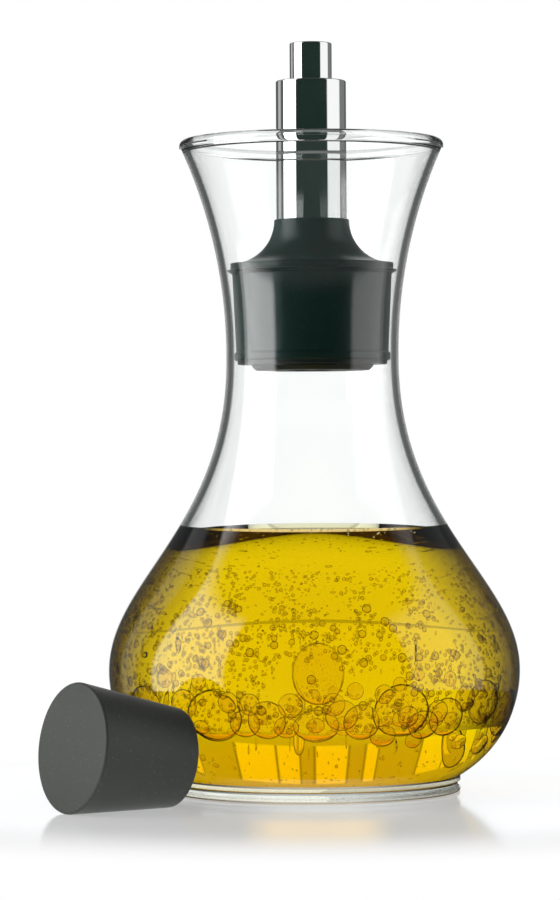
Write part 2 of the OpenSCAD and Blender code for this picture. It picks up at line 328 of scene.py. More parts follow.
outline = [(0, 0), (foot_r - foot_edge, 0)]
outline += arc(foot_r - foot_edge, foot_edge, foot_edge, -90, 0, 6)[1:]
groove_x = foot_r + groove_r - groove_depth
groove_half = degrees(acos((groove_x - foot_r) / groove_r))
outline += arc(groove_x, groove_z, groove_r, 180 + groove_half, 180 - groove_half, 12)
outline += glass_skin(0, foot_h)
rim_lean = degrees(asin((bead_z - flare_z) / flare_r))
rim_mid = (waist_r + flare_r - (flare_r + bead_r) * cos(radians(rim_lean)),
           flare_z + (flare_r + bead_r) * sin(radians(rim_lean)))
outline += arc(rim_mid[0], bead_z, bead_r, bead_start - rim_lean, bead_end - rim_lean, 30)
outer_points = len(outline)
outline += [point for point in reversed(glass_skin(wall, floor_z))
            if hypot(point[0] - rim_mid[0], point[1] - rim_mid[1]) > bead_blend * bead_r]
outline += [(0, floor_z)]

# The inside bends light by the ratio of the glass's index to that of what lies against it
along = add("ShaderNodeAttribute", attribute_name="along").outputs["Fac"]
inside = calc(add, "GREATER_THAN", along, (outer_points - 0.5) / (len(outline) - 1))
height = object_height(add)
index = glass_ior
for level, above, below in ((oil_edge_z, glass_ior, glass_ior / oil_ior),
                            (vinegar_level, glass_ior / oil_ior, glass_ior / vinegar_ior)):
    wet = calc(add, "LESS_THAN", height, level * MM)
    wet = calc(add, "MULTIPLY", wet, inside)
    index = calc(add, "MULTIPLY_ADD", wet, below - above, index)
link(glass_finish, index, shader.inputs["IOR"])

carafe = turned("carafe_glass", outline, glass_finish, around=192)
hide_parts("carafe")
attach(carafe, "carafe")


# Dressing
# Oil floating on vinegar, shaken a while ago: fine air bubbles through the oil, and big drops
# where the two meet. The glass itself bends the light on its way into the dressing, so the
# dressing's own side is unseen and only what it takes out of the light shows, besides painted
# shade on the oil's skin.

skin_gap = 0.02
overlap = 0.03
liquid_density = 150.0
oil_colour = (0.980, 0.947, 0.0, 1)
vinegar_colour = (0.992, 0.918, 0.0, 1)
clear = (1, 1, 1, 1)


def between(points, z0, z1):
    """The part of a rising outline between two heights, cut exactly at both."""
    kept = []
    for (xa, za), (xb, zb) in zip(points, points[1:]):
        for z in (z0, z1):
            if za < z < zb:
                kept.append((xa + (xb - xa) * (z - za) / (zb - za), z))
        if z0 <= zb <= z1:
            kept.append((xb, zb))
    return kept


def liquid_finish(name, colour):
    """A clear liquid that takes its colour out of the light by depth, and where its skin is set."""
    material, shader, add = new_material(name)
    material.node_tree.nodes.remove(shader)
    end = material.node_tree.nodes["Material Output"].inputs
    depth = add("ShaderNodeVolumeAbsorption", {"Color": colour, "Density": liquid_density})
    link(material, depth.outputs["Volume"], end["Volume"])
    return material, add, end["Surface"]


# Painted shade on the oil's skin: brownish where it is seen edge on, and green-black in the corners
# under its surface. Facing is 0 where the skin is seen square on.
edge_shade_facing = (0.13, 0.27)
edge_painted_shade = (0.13, 0.10, 0.07, 1)
corner_shade_facing = (0.18, 0.21)
corner_z = (55.4, 56.6)
corner_painted_shade = (0.02, 0.04, 0.033, 1)
film_colour = (1.0, 0.97, 0.80, 1)
film_from = 0.1

oil_finish, add, surface = liquid_finish("oil_clear", oil_colour)
height = object_height(add)
edge_on = add("ShaderNodeLayerWeight", {"Blend": 0.5}).outputs["Facing"]
entering = calc(add, "SUBTRACT", 1.0, add("ShaderNodeNewGeometry").outputs["Backfacing"])
# Painted shade, mixed into the colour the skin lets through
edge_shade_share = calc(add, "MULTIPLY", ranged(add, edge_on, *edge_shade_facing), entering)
tint_and_painted_shade = mixed(add, edge_shade_share, clear, edge_painted_shade)
under_top = ranged(add, height, corner_z[0] * MM, corner_z[1] * MM)
corner = calc(add, "MULTIPLY", under_top, ranged(add, edge_on, *corner_shade_facing))
tint_and_painted_shade = mixed(add, calc(add, "MULTIPLY", corner, entering), tint_and_painted_shade, corner_painted_shade)
skin = add("ShaderNodeBsdfTransparent", {"Color": tint_and_painted_shade}).outputs[0]
unseen = add("ShaderNodeBsdfTransparent").outputs[0]
at_level = calc(add, "LESS_THAN", height, (vinegar_level - overlap / 2) * MM)
skin = add("ShaderNodeMixShader", {0: at_level, 1: skin, 2: unseen}).outputs[0]

wet_skin = glass_skin(wall + skin_gap, floor_z + skin_gap, fine=0.8)
side = between(wet_skin, vinegar_level - overlap, oil_edge_z)
edge_r = side[-1][0]
hollow = [(edge_r - 2 * meniscus * u, oil_level + meniscus * (1 - u) ** 2)
          for u in [i / 10 for i in range(1, 11)]]
outline = [(0, side[0][1])] + side + hollow + [(0, oil_level)]

# Past the side's last station comes the surface, which climbs the glass as a thin film
along = add("ShaderNodeAttribute", attribute_name="along").outputs["Fac"]
at_top = calc(add, "GREATER_THAN", along, (len(side) + 0.01) / (len(outline) - 1))
top = add("ShaderNodeBsdfGlass", {"Color": clear, "Roughness": 0.0, "IOR": oil_ior}).outputs[0]
climbing = calc(add, "GREATER_THAN", height, (oil_level + film_from) * MM)
film = add("ShaderNodeBsdfTransparent", {"Color": film_colour}).outputs[0]
top = add("ShaderNodeMixShader", {0: climbing, 1: top, 2: film}).outputs[0]
link(oil_finish, add("ShaderNodeMixShader", {0: at_top, 1: skin, 2: top}).outputs[0], surface)
oil = turned("oil", outline, oil_finish, sharp=60)
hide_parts("oil_layer")
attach(oil, "carafe")

vinegar_finish, add, surface = liquid_finish("vinegar_clear", vinegar_colour)
link(vinegar_finish, add("ShaderNodeBsdfTransparent").outputs[0], surface)
vinegar_z = floor_z + skin_gap
side = between([(0, vinegar_z - 0.001)] + wet_skin, vinegar_z, vinegar_level)
outline = [(0, vinegar_z)] + side + [(0, vinegar_level)]
vinegar = turned("vinegar", outline, vinegar_finish, sharp=60)
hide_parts("vinegar_layer")
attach(vinegar, "carafe")


# Bubbles keep off the glass, gather in clumps, and are finer behind the axis, where the dressing
# magnifies them
clump_scale = 95.0
nearest_share = 0.98
finest_y = 20
finest_share = 0.35
size_seed = 7


def bubble_tree():
    """Bubbles inside a round skin: points on the skin are drawn in towards the axis."""
    tree, add = new_tree("bubbles")
    for name, kind in (("Skin", "Geometry"), ("Count per m2", "Float"), ("Low", "Float"),
                       ("High", "Float"), ("Reach", "Float"), ("Clumps", "Float"),
                       ("Smallest", "Float"), ("Largest", "Float"), ("Rarity", "Float"),
                       ("Seed", "Int"), ("Facets", "Int"), ("Finish", "Material")):
        add_socket(tree, name, kind)
    add_socket(tree, "Bubbles", "Geometry", "OUTPUT")
    put = add("NodeGroupInput").outputs
    spread = add("GeometryNodeDistributePointsOnFaces",
                 {"Mesh": put["Skin"], "Density": put["Count per m2"], "Seed": put["Seed"]})
    place = add("GeometryNodeInputPosition").outputs[0]
    height = add("ShaderNodeSeparateXYZ", {0: place}).outputs["Z"]
    under = add("FunctionNodeCompare", {0: height, 1: put["Low"]}, operation="LESS_THAN").outputs[0]
    above = add("FunctionNodeCompare", {0: height, 1: put["High"]}, operation="GREATER_THAN").outputs[0]
    out = add("FunctionNodeBooleanMath", {0: under, 1: above}, operation="OR").outputs[0]
    clump = add("ShaderNodeTexNoise", {"Vector": place, "Scale": clump_scale, "Detail": 1.0}).outputs["Fac"]
    thin = add("FunctionNodeCompare", {0: clump, 1: put["Clumps"]}, operation="LESS_THAN").outputs[0]
    out = add("FunctionNodeBooleanMath", {0: out, 1: thin}, operation="OR").outputs[0]
    kept = add("GeometryNodeDeleteGeometry", {"Geometry": spread.outputs["Points"], "Selection": out},
               domain="POINT").outputs[0]
    draw = add("FunctionNodeRandomValue", {"Seed": put["Seed"]}, data_type="FLOAT").outputs[1]
    deepest = calc(add, "SUBTRACT", 1.0, put["Reach"])
    share = ranged(add, draw, 0.0, 1.0, deepest, nearest_share)
    pull = add("ShaderNodeCombineXYZ", {0: share, 1: share, 2: 1.0}).outputs[0]
    inside = add("ShaderNodeVectorMath", {0: place, 1: pull}, operation="MULTIPLY").outputs[0]
    kept = add("GeometryNodeSetPosition", {"Geometry": kept, "Position": inside}).outputs[0]
    other = add("FunctionNodeIntegerMath", {0: put["Seed"], 1: size_seed}, operation="ADD").outputs[0]
    chance = add("FunctionNodeRandomValue", {"Seed": other}, data_type="FLOAT").outputs[1]
    rare = calc(add, "POWER", chance, put["Rarity"])
    size = ranged(add, rare, 0.0, 1.0, put["Smallest"], put["Largest"])
    back = add("ShaderNodeSeparateXYZ", {0: place}).outputs["Y"]
    finer = ranged(add, back, 0.0, finest_y * MM, 1.0, finest_share)
    size = calc(add, "MULTIPLY", size, finer)
    ball = add("GeometryNodeMeshIcoSphere", {"Radius": 1.0, "Subdivisions": put["Facets"]}).outputs["Mesh"]
    ball = add("GeometryNodeSetShadeSmooth", {"Geometry": ball}).outputs[0]
    many = add("GeometryNodeInstanceOnPoints", {"Points": kept, "Instance": ball, "Scale": size}).outputs[0]
    many = add("GeometryNodeRealizeInstances", {"Geometry": many}).outputs[0]
    many = add("GeometryNodeSetMaterial", {"Geometry": many, "Material": put["Finish"]}).outputs[0]
    add("NodeGroupOutput", {"Bubbles": many})
    return tree


ring_full = 0.95
drop_ior = 1.41


def drop_finish(name, ratio, tint_and_painted_shade, edge, ring_from):
    """A drop or bubble inside the liquid: light bends by the ratio of its index to the liquid's, and a
    painted ring of shade darkens its rim.
    """
    material, shader, add = new_material(name)
    edge_on = add("ShaderNodeLayerWeight", {"Blend": 0.5}).outputs["Facing"]
    tint_and_painted_shade = mixed(add, ranged(add, edge_on, ring_from, ring_full, kind="SMOOTHSTEP"), tint_and_painted_shade, edge)
    drop = add("ShaderNodeBsdfGlass", {"Color": tint_and_painted_shade, "Roughness": 0.0, "IOR": ratio})
    link(material, drop.outputs[0], material.node_tree.nodes["Material Output"].inputs["Surface"])
    material.node_tree.nodes.remove(shader)
    return material


# The last colours below are painted shade: dark rings on the drops and bubbles, over the real darkening
# their bending of light gives
air_finish = drop_finish("air_in_oil", 1 / oil_ior, clear, (0.12, 0.07, 0.05, 1), ring_from=0.3)
drop_in_oil = drop_finish("drop_in_oil", drop_ior / oil_ior, (0.97, 0.93, 0.82, 1),
                          (0.20, 0.10, 0.03, 1), ring_from=0.76)
thin_finish = drop_finish("thin_bubble_in_oil", vinegar_ior / oil_ior, (0.92, 0.89, 0.78, 1),
                          (0.12, 0.06, 0.04, 1), ring_from=0.45)

BUBBLES = bubble_tree()


def bubbles(name, skin, finish, seed, count, low, high, reach, clumps, smallest, largest, rarity, facets):
    """Bubbles inside a skin between two heights, all sizes in mm and the count per square metre of skin."""
    piece = bpy.data.objects.new(name, skin.data.copy())
    bpy.context.collection.objects.link(piece)
    run_tree(BUBBLES, piece, {
        "Count per m2": float(count), "Low": low * MM, "High": high * MM, "Reach": reach, "Clumps": clumps,
        "Smallest": smallest * MM, "Largest": largest * MM, "Rarity": float(rarity), "Seed": seed,
        "Facets": facets, "Finish": finish})
    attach(piece, "carafe")


bubbles("dark_specks", oil, air_finish, seed=11, count=160000, low=19, high=38, reach=0.2, clumps=0.52,
        smallest=0.1, largest=0.36, rarity=1.6, facets=2)
bubbles("high_bubbles", oil, air_finish, seed=23, count=18000, low=30, high=56, reach=0.3, clumps=0.3,
        smallest=0.1, largest=0.22, rarity=1.6, facets=2)
bubbles("surface_bubbles", oil, air_finish, seed=51, count=300000, low=57.2, high=58.6, reach=0.03,
        clumps=0.45, smallest=0.16, largest=0.4, rarity=1.2, facets=1)
bubbles("fine_bubbles", oil, thin_finish, seed=61, count=620000, low=17, high=50, reach=0.12, clumps=0.4,
        smallest=0.15, largest=0.5, rarity=1.3, facets=1)
bubbles("thin_bubbles", oil, thin_finish, seed=35, count=120000, low=17, high=43, reach=0.12, clumps=0.4,
        smallest=0.4, largest=1.05, rarity=2.2, facets=2)

raft_density = 100000.0
rise_seed = 3
drop_flatness = 0.86
ball_steps = 4


def raft_tree():
    """Drops lying together on a level: points spaced apart on a disc, each with its own ball."""
    tree, add = new_tree("drop_raft")
    for name, kind in (("Disc", "Geometry"), ("Spacing", "Float"), ("Smallest", "Float"),
                       ("Largest", "Float"), ("Spread", "Float"), ("Free", "Float"), ("Seed", "Int"),
                       ("Finish", "Material")):
        add_socket(tree, name, kind)
    add_socket(tree, "Drops", "Geometry", "OUTPUT")
    put = add("NodeGroupInput").outputs
    spread = add("GeometryNodeDistributePointsOnFaces",
                 {"Mesh": put["Disc"], "Distance Min": put["Spacing"], "Density Max": raft_density,
                  "Seed": put["Seed"]}, distribute_method="POISSON")
    place = add("GeometryNodeInputPosition").outputs[0]
    flat_place = add("ShaderNodeVectorMath", {0: place, 1: (1, 1, 0)}, operation="MULTIPLY").outputs[0]
    away = add("ShaderNodeVectorMath", {0: flat_place}, operation="LENGTH").outputs["Value"]
    inner = add("FunctionNodeCompare", {0: away, 1: put["Free"]}, operation="LESS_THAN").outputs[0]
    ring = add("GeometryNodeDeleteGeometry", {"Geometry": spread.outputs["Points"], "Selection": inner},
               domain="POINT").outputs[0]
    size = add("FunctionNodeRandomValue", {2: put["Smallest"], 3: put["Largest"], "Seed": put["Seed"]},
               data_type="FLOAT").outputs[1]
    other = add("FunctionNodeIntegerMath", {0: put["Seed"], 1: rise_seed}, operation="ADD").outputs[0]
    rise = add("FunctionNodeRandomValue", {2: -1.0, 3: 1.0, "Seed": other}, data_type="FLOAT").outputs[1]
    rise = calc(add, "MULTIPLY", rise, put["Spread"])
    shift = add("ShaderNodeCombineXYZ", {2: rise}).outputs[0]
    kept = add("GeometryNodeSetPosition", {"Geometry": ring, "Offset": shift}).outputs[0]
    ball = add("GeometryNodeMeshIcoSphere", {"Radius": 1.0, "Subdivisions": ball_steps}).outputs["Mesh"]
    ball = add("GeometryNodeSetShadeSmooth", {"Geometry": ball}).outputs[0]
    height = calc(add, "MULTIPLY", size, drop_flatness)
    flat = add("ShaderNodeCombineXYZ", {0: size, 1: size, 2: height}).outputs[0]
    many = add("GeometryNodeInstanceOnPoints", {"Points": kept, "Instance": ball, "Scale": flat}).outputs[0]
    many = add("GeometryNodeRealizeInstances", {"Geometry": many}).outputs[0]
    many = add("GeometryNodeSetMaterial", {"Geometry": many, "Material": put["Finish"]}).outputs[0]
    add("NodeGroupOutput", {"Drops": many})
    return tree


RAFT = raft_tree()


def raft(name, level, free, reach, seed, spacing, smallest, largest, spread):
    """A ring of drops round a level, from a free middle out to a reach, all in mm."""
    mesh = bpy.data.meshes.new(name)
    form = bmesh.new()
    bmesh.ops.create_circle(form, cap_ends=True, segments=48, radius=reach * MM,
                            matrix=Matrix.Translation((0, 0, level * MM)))
    form.to_mesh(mesh)
    form.free()
    piece = bpy.data.objects.new(name, mesh)
    bpy.context.collection.objects.link(piece)
    run_tree(RAFT, piece, {
        "Spacing": spacing * MM, "Smallest": smallest * MM, "Largest": largest * MM,
        "Spread": spread * MM, "Free": free * MM, "Seed": seed, "Finish": drop_in_oil})
    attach(piece, "carafe")


raft("middle_drops", vinegar_level + 1.5, free=30, reach=39.5, seed=9, spacing=4.6, smallest=0.8,
     largest=2.3, spread=2.6)

# The largest drops lie against the glass: bearing from straight in front in degrees, height above
# the table and radius in mm, and how much taller than wide each is. Behind, where the dressing
# magnifies them, they are smaller towards the middle.
drop_gap = 0.3
behind_from = 80
behind_step = 17.0
behind_count = 12
behind_z = 19.5
behind_z_wave = 1.6
behind_r = 3.6
behind_r_wave = 1.2
behind_least = 0.25
behind_tall = 0.95
drops_in_front = [(-33.6, 20.2, 5.9, 0.9), (-15.1, 19.4, 4.0, 1.0), (0.0, 18.3, 4.7, 0.75),
                  (13.8, 18.9, 3.8, 1.0), (27.5, 21.1, 5.9, 0.9), (20.9, 15.9, 2.8, 0.85),
                  (27.9, 19.8, 2.3, 1.0), (43.3, 19.4, 4.0, 1.0), (31.4, 14.8, 1.9, 1.0),
                  (38.0, 20.6, 2.4, 1.0), (0.6, 28.8, 5.4, 1.15), (-26.0, 23.0, 2.2, 1.0),
                  (-42.0, 22.4, 3.0, 1.0), (5.0, 22.6, 2.4, 1.0), (-7.5, 22.4, 2.6, 1.0),
                  (19.5, 24.6, 2.0, 1.0), (60.0, 22.0, 4.4, 1.0), (-62.0, 21.0, 4.6, 1.0),
                  (-22.0, 18.6, 3.2, 0.9), (-9.0, 17.9, 2.6, 0.9), (7.5, 20.4, 3.4, 0.95),
                  (34.5, 18.0, 3.4, 0.9), (48.5, 23.0, 2.6, 1.0), (-19.5, 22.6, 2.3, 1.0),
                  (11.0, 25.4, 1.8, 1.0), (24.0, 26.6, 1.5, 1.0), (-35.0, 27.0, 1.7, 1.0),
                  (41.0, 27.2, 1.6, 1.0), (-48.0, 27.5, 2.0, 1.0), (30.0, 28.4, 1.3, 1.0)]
drops_behind = []
for i in range(behind_count):
    angle = behind_from + behind_step * i
    size_share = behind_least + (1 - behind_least) * abs(sin(radians(angle)))
    z = behind_z + behind_z_wave * sin(2.3 * i)
    r = (behind_r + behind_r_wave * cos(1.7 * i)) * size_share
    drops_behind.append((angle, z, r, behind_tall))
mesh = bpy.data.meshes.new("large_drops")
form = bmesh.new()
for angle, z, r, tall in drops_in_front + drops_behind:
    room = low_x + sqrt((low_r - wall - drop_gap - r) ** 2 - min(0, z - belly_z) ** 2)
    spot = Vector((room * sin(radians(angle)), -room * cos(radians(angle)), z))
    bmesh.ops.create_icosphere(form, subdivisions=ball_steps, radius=r * MM,
                               matrix=Matrix.Translation(spot * MM) @ Matrix.Diagonal((1, 1, tall, 1)))
for face in form.faces:
    face.smooth = True
form.to_mesh(mesh)
form.free()
large_drops = bpy.data.objects.new("large_drops", mesh)
bpy.context.collection.objects.link(large_drops)
mesh.materials.append(drop_in_oil)
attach(large_drops, "carafe")


# Stopper core
# Moulded black plastic inside the seal: it shows only its flange and boss from below, and the
# splines that hold the pour tube. It keeps the CAD node's own shape.

speck_scale = 900.0
speck_r = 0.16


def grain_group():
    """Fine moulded grain: a height for bump, and a mask of small specks of lighter colour."""
    tree, add = new_tree("moulded_grain", "ShaderNodeTree")
    add_socket(tree, "Scale", "Float", value=2500.0)
    add_socket(tree, "Height", "Float", "OUTPUT")
    add_socket(tree, "Specks", "Float", "OUTPUT")
    put = add("NodeGroupInput").outputs
    place = add("ShaderNodeTexCoord").outputs["Object"]
    grain = add("ShaderNodeTexNoise", {"Vector": place, "Scale": put["Scale"], "Detail": 3.0,
                                       "Roughness": 0.6})
    lighter_specks = add("ShaderNodeTexVoronoi", {"Vector": place, "Scale": speck_scale, "Randomness": 1.0})
    speck = ranged(add, lighter_specks.outputs["Distance"], 0.0, speck_r, 1.0, 0.0)
    add("NodeGroupOutput", {"Height": grain.outputs["Fac"], "Specks": speck})
    return tree


GRAIN = grain_group()


speck_light = 3
smoother = 0.06
rougher = 0.08
sheen_rough = 0.35


def moulded_finish(name, colour, light_colour, roughness, grain_scale, grain_depth, specular=0.5,
                   sheen=0.0):
    """Matte moulded rubber or plastic: fine grain, slow changes of shade, a few light specks."""
    material, shader, add = new_material(name)
    grain = add("ShaderNodeGroup", node_tree=GRAIN)
    grain.inputs["Scale"].default_value = grain_scale
    place = add("ShaderNodeTexCoord").outputs["Object"]
    cloud = add("ShaderNodeTexNoise", {"Vector": place, "Scale": 70.0, "Detail": 4.0})
    shade = mixed(add, cloud.outputs["Fac"], colour, light_colour)
    lighter_specks = tuple(speck_light * c for c in light_colour[:3]) + (1,)
    shade = mixed(add, grain.outputs["Specks"], shade, lighter_specks)
    link(material, shade, shader.inputs["Base Color"])
    rough = ranged(add, cloud.outputs["Fac"], 0.0, 1.0, roughness - smoother, roughness + rougher)
    link(material, rough, shader.inputs["Roughness"])
    bump = add("ShaderNodeBump", {"Height": grain.outputs["Height"], "Strength": 0.5,
                                  "Distance": grain_depth})
    link(material, bump.outputs["Normal"], shader.inputs["Normal"])
    shader.inputs["Specular IOR Level"].default_value = specular
    shader.inputs["Sheen Weight"].default_value = sheen
    shader.inputs["Sheen Roughness"].default_value = sheen_rough
    return material


core_finish = moulded_finish("core_plastic", (0.036, 0.038, 0.030, 1), (0.045, 0.048, 0.040, 1), 0.38,
                             1800.0, 0.00004)
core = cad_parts["stopper_core"]
core.data.materials.clear()
core.data.materials.append(core_finish)


# Stopper seal
# Silicone moulded over the core: a collar that grips the spout, a hollow sweep down to the brim,
# and a skirt between a thin upper lip and a thicker lower lip.

seal_r, seal_z, collar_z = box_mm("stopper_seal")
sleeve_r, shoulder_z, sleeve_top = box_mm("spout_sleeve")
seat_step = 0.2
lip_gap = 0.25
lip_reach = 0.45
skirt_flare = 0.8
low_lip_h = 1.6
low_lip_round = 0.3
top_lip_t = 0.5
top_lip_edge = 0.2
brim_r = 18.5
brim_h = 1.5
sweep_r = 10.0
sweep_steps = 24
collar_edge = 0.5
core_r = 13.0
lip_z = collar_z - sweep_r - brim_h - top_lip_t
collar_r = sleeve_r + collar_edge
low_lip_r = waist_r - wall - lip_gap
skirt_r = low_lip_r - lip_reach
seal_round = 0.25
straight_within = 14
most_of_side = 0.45


def softened(points, radius, steps=5):
    """A closed outline with its corners rounded, each by no more than its sides allow."""
    soft = []
    count = len(points)
    for i, corner in enumerate(points):
        here = Vector(corner)
        back = Vector(points[i - 1]) - here
        ahead = Vector(points[(i + 1) % count]) - here
        if abs(back.angle(ahead) - pi) < radians(straight_within):
            soft.append(corner)
            continue
        reach = min(radius, most_of_side * back.length, most_of_side * ahead.length)
        start = here + back.normalized() * reach
        end = here + ahead.normalized() * reach
        for k in range(steps + 1):
            u = k / steps
            soft.append(tuple(start * (1 - u) ** 2 + here * (2 * u * (1 - u)) + end * u * u))
    return soft


seal_finish = moulded_finish("seal_silicone", (0.012, 0.050, 0.042, 1), (0.016, 0.058, 0.050, 1), 0.31,
                             2600.0, 0.00002, specular=0.45)
outline = [(core_r, seal_z), (low_lip_r - low_lip_round, seal_z), (low_lip_r, seal_z + low_lip_round),
           (low_lip_r, seal_z + low_lip_h), (skirt_r, seal_z + low_lip_h + lip_reach),
           (skirt_r + skirt_flare, lip_z - top_lip_t), (seal_r, lip_z + top_lip_t * top_lip_edge),
           (seal_r, lip_z + top_lip_t * (1 - top_lip_edge)), (brim_r, lip_z + top_lip_t)]
sweep = [(brim_r - (brim_r - collar_r) * cos(radians(a)), collar_z - sweep_r * sin(radians(a)))
         for a in [90 - 90 * i / sweep_steps for i in range(sweep_steps + 1)]]
seat_r = sleeve_r - seat_step
outline += sweep + [(seat_r, collar_z), (seat_r, shoulder_z), (core_r, shoulder_z)]
outline = softened(outline, seal_round)
seal = turned("seal", outline + outline[:1], seal_finish)
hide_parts("stopper_seal")
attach(seal, "stopper")


# Spout
# Two polished stainless tubes, one in the other, each with its mouth rounded over. The sleeve
# stands in the collar, and the pour tube runs down through the stopper to the core's toes.

tube_r, tube_z, tube_top = box_mm("pour_tube")
sleeve_t = 0.7
tube_t = 0.6
tube_chamfer = 0.1
edge_break = 0.05

steel_finish, shader, add = new_material("polished_steel")
shader.inputs["Metallic"].default_value = 1.0
shader.inputs["Base Color"].default_value = (0.90, 0.91, 0.905, 1)
place = add("ShaderNodeTexCoord").outputs["Object"]
marks = add("ShaderNodeGroup", node_tree=HANDLING)
marks.inputs["Scale"].default_value = 90.0
marks.inputs["Lowest"].default_value = 0.03
marks.inputs["Highest"].default_value = 0.11
link(steel_finish, marks.outputs["Roughness"], shader.inputs["Roughness"])
stretch = add("ShaderNodeMapping", {"Vector": place, "Scale": (1.0, 1.0, 0.012)})
draw_lines = add("ShaderNodeTexNoise", {"Vector": stretch.outputs[0], "Scale": 1400.0, "Detail": 2.0})
draw_bump = add("ShaderNodeBump", {"Height": draw_lines.outputs["Fac"], "Strength": 0.03,
                                   "Distance": 0.00002})
link(steel_finish, draw_bump.outputs["Normal"], shader.inputs["Normal"])


def steel_tube(name, r, t, z0, z1, node, foot):
    """A drawn tube: its foot's outline, then a full round at its upper end, and back down inside."""
    outline = foot + arc(r - t / 2, z1 - t / 2, t / 2, 0, 180, 14)
    outline += [(r - t, z0 + tube_chamfer), (r - t + tube_chamfer, z0)]
    tube = turned(name, outline + outline[:1], steel_finish, around=128)
    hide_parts(node)
    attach(tube, "stopper")


steel_tube("sleeve", sleeve_r, sleeve_t, shoulder_z, sleeve_top, "spout_sleeve",
           [(seat_r, shoulder_z), (seat_r, collar_z), (sleeve_r - edge_break, collar_z),
            (sleeve_r, collar_z + edge_break)])
steel_tube("tube", tube_r, tube_t, tube_z, tube_top, "pour_tube",
           [(tube_r - tube_chamfer, tube_z), (tube_r, tube_z + tube_chamfer)])


# Cap
# One moulded rubber cone that has been pulled off the spout and lies on its side. Its socket is
# stepped: wide for the sleeve, narrow for the pour tube. Its two outer edges are rounded.

cap_r = 14.2
mouth_r = 10.8
cap_h = 25.6
cap_edge = 0.6
sleeve_fit = 0.1
tube_fit = 0.4
socket_r = sleeve_r + sleeve_fit
socket_h = 13.0
tube_socket_r = tube_r + tube_fit
tube_socket_h = tube_top - sleeve_top + tube_fit
socket_round = 0.2
mouth_chamfer = 0.8
cap_away = 3.4
cap_bearing = radians(229.6)
cap_turn = radians(34)
cap_tilt = atan((cap_r - mouth_r) / cap_h)

cap_finish = moulded_finish("cap_rubber", (0.051, 0.056, 0.050, 1), (0.064, 0.069, 0.062, 1), 0.5,
                            3000.0, 0.00006, specular=0.4, sheen=0.3)


def cone_corner(r, z, way):
    """The round at an end of the cone: way 1 at the mouth and -1 at the closed end."""
    x = r - cap_edge * (1 - way * sin(cap_tilt)) / cos(cap_tilt)
    start = degrees(cap_tilt) if way > 0 else -90
    turn = 90 - way * degrees(cap_tilt)
    return arc(x, z - way * cap_edge, cap_edge, start, start + turn, 10)


step_z = cap_h - socket_h
socket_end = step_z - tube_socket_h
outline = [(0, 0)] + cone_corner(cap_r, 0, -1) + cone_corner(mouth_r, cap_h, 1)
socket = [(socket_r + mouth_chamfer, cap_h), (socket_r, cap_h - mouth_chamfer), (socket_r, step_z),
          (tube_socket_r, step_z), (tube_socket_r, socket_end)]
round_steps = 5
outline += softened(socket, socket_round, round_steps)[:-round_steps - 1]
outline += [(tube_socket_r - socket_round, socket_end), (0, socket_end)]
cap = turned("rubber_cap", outline, cap_finish, sharp=50)
mouth_at = (belly_r + cap_away) * Vector((cos(cap_bearing), sin(cap_bearing), 0))
lift = Vector((mouth_r * sin(cap_tilt) - cap_h * cos(cap_tilt), 0,
               mouth_r * cos(cap_tilt) + cap_h * sin(cap_tilt)))
cap.data.transform(Matrix.Translation(mouth_at * MM) @ Matrix.Rotation(cap_turn, 4, "Z")
                   @ Matrix.Translation(lift * MM) @ Matrix.Rotation(pi / 2 + cap_tilt, 4, "Y"))
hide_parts("cap")
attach(cap, "cap")


# Studio
# A white glossy table that fades into a white background, a dark room in front of the object and
# two tall soft boxes beside it, as the steel's bands show them. A ray that has only gone through
# glass sees white all round, and a mirrored ray sees the dark room and a table darkened by painted
# shade, with a painted pool of light under the foot.

floor_r = 0.16
floor_paint = (0.9, 0.9, 0.9, 1)
# Painted shade: the table's colour as mirrored rays see it
mirrored_painted_shade = (0.15, 0.15, 0.15, 1)
gloss_tint = (0.94, 0.97, 1, 1)
gloss_most = 0.5
gloss_fade = (0.08, 0.15)
seen_lift = 0.34
glass_lift = 0.5
bounce_lift = 0.9
# Painted light: a glow under the foot that only mirrored rays see
under_foot_painted_light = 0.5
under_fade = (0.008, 0.024)
under_r = 0.034
white_fade = (0.09, 0.15)
back_stretch = 0.4
seam_r = 0.1545
seam_light = 0.6
glass_glow = 0.08
mesh = bpy.data.meshes.new("floor")
form = bmesh.new()
bmesh.ops.create_circle(form, cap_ends=True, segments=96, radius=floor_r)
form.to_mesh(mesh)
form.free()
floor = bpy.data.objects.new("floor", mesh)
bpy.context.collection.objects.link(floor)

floor_finish, shader, add = new_material("floor_white")
floor_finish.node_tree.nodes.remove(shader)
rays = add("ShaderNodeLightPath").outputs
mirrored = calc(add, "GREATER_THAN", rays["Glossy Depth"], 0.5)
straight = calc(add, "SUBTRACT", 1.0, mirrored)
through_glass = calc(add, "MULTIPLY", rays["Is Transmission Ray"], straight)
direct = calc(add, "MAXIMUM", rays["Is Camera Ray"], through_glass)
# Painted shade: to mirrored rays the table's colour is much darker
paint = mixed(add, mirrored, floor_paint, mirrored_painted_shade)
matte = add("ShaderNodeBsdfDiffuse", {"Color": paint}).outputs[0]
gloss = add("ShaderNodeBsdfGlossy", {"Color": gloss_tint, "Roughness": 0.1}).outputs[0]
place = add("ShaderNodeTexCoord").outputs["Object"]
away = add("ShaderNodeVectorMath", {0: place}, operation="LENGTH").outputs["Value"]
seen_gloss = ranged(add, away, *gloss_fade, gloss_most, 0.0, kind="SMOOTHSTEP")
seen_gloss = calc(add, "MULTIPLY", seen_gloss, rays["Is Camera Ray"])
table = add("ShaderNodeMixShader", {0: seen_gloss, 1: matte, 2: gloss}).outputs[0]

